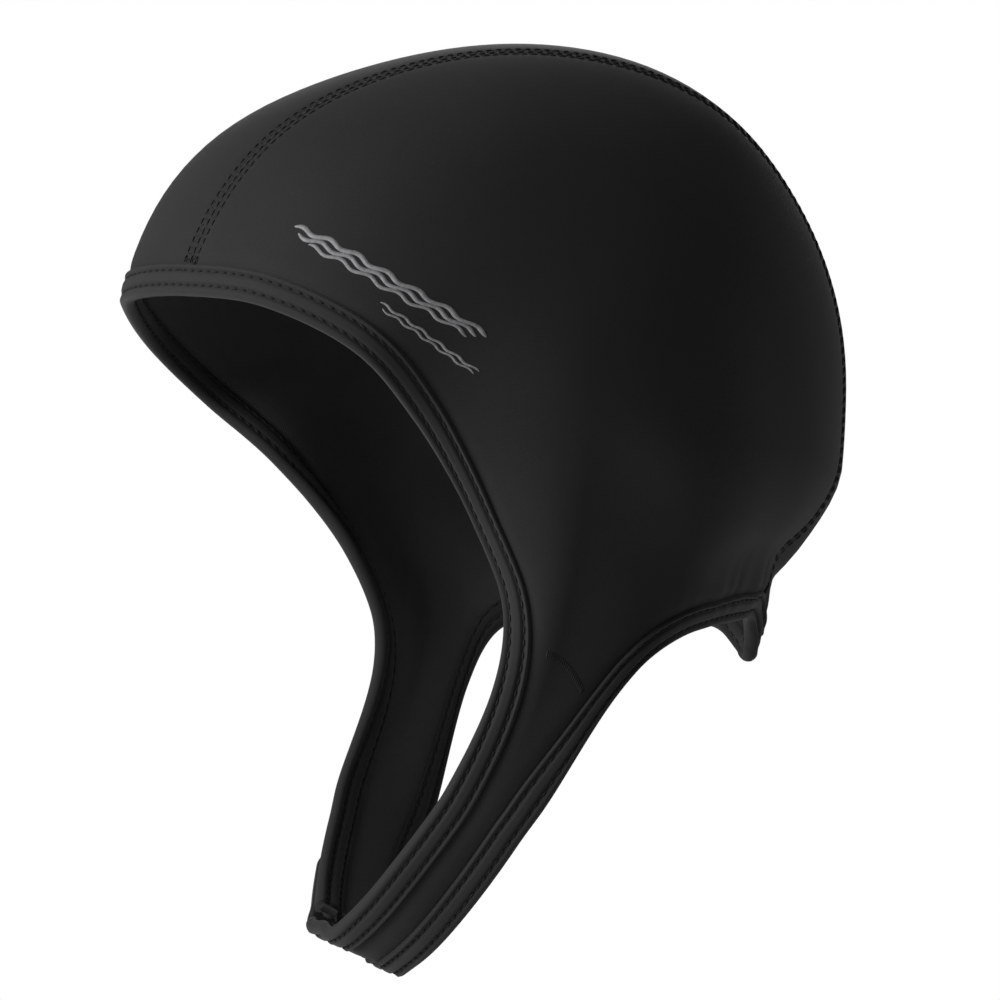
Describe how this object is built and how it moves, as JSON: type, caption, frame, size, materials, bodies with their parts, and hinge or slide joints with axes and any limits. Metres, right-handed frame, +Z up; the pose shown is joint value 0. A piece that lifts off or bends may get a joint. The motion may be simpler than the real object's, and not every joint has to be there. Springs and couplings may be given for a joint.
{
  "type": "water sports cap",
  "caption": "Soft neoprene water-sports cap: crown panel between side panels, hemmed face and neck edges, and a chin strap with a peel-off hook tab.",
  "frame": {"origin": "the middle of the head inside the cap, at its widest level just above the ears", "axes": "+Z up through the crown, -Y the way the face looks, +X the wearer's left"},
  "size_m": [0.1548, 0.1919, 0.2419],
  "materials": {
    "neoprene": "matte knit-faced foam rubber",
    "hem_neoprene": "matte knit-faced foam rubber",
    "thread": "dull polyester thread",
    "seam_tape": "smooth knit tape",
    "label": "woven satin",
    "loop_pile": "brushed loop pile",
    "hook_strip": "stiff moulded hooks"
  },
  "bodies": {
    "cap": {"crown_panel": "neoprene", "left_side_panel": "neoprene", "right_side_panel": "neoprene", "face_hem": "hem_neoprene", "neck_hem": "hem_neoprene", "left_crown_seam_cover": "thread", "right_crown_seam_cover": "thread", "left_crown_seam_tape": "seam_tape", "right_crown_seam_tape": "seam_tape", "left_bar_tack": "thread", "right_bar_tack": "thread", "care_label": "label"},
    "strap": {"chin_strap": "neoprene", "short_strap": "neoprene", "loop_patch": "loop_pile"},
    "tab": {"hook_tab": "neoprene", "hook_patch": "hook_strip"}
  },
  "joints": [
    {"name": "chin_strap_swing", "type": "hinge", "parent": "cap", "child": "strap", "pos_m": [0, -0.009, -0.098], "axis": [-1, 0, 0], "range_deg": [-20, 26], "stiffness_Nm_per_rad": 0.05},
    {"name": "hook_tab_peel", "type": "hinge", "parent": "strap", "child": "tab", "pos_m": [-0.02277, -0.02941, -0.14176], "axis": [0, -0.9063, 0.4226], "range_deg": [0, 100], "stiffness_Nm_per_rad": 0.01}
  ]
}
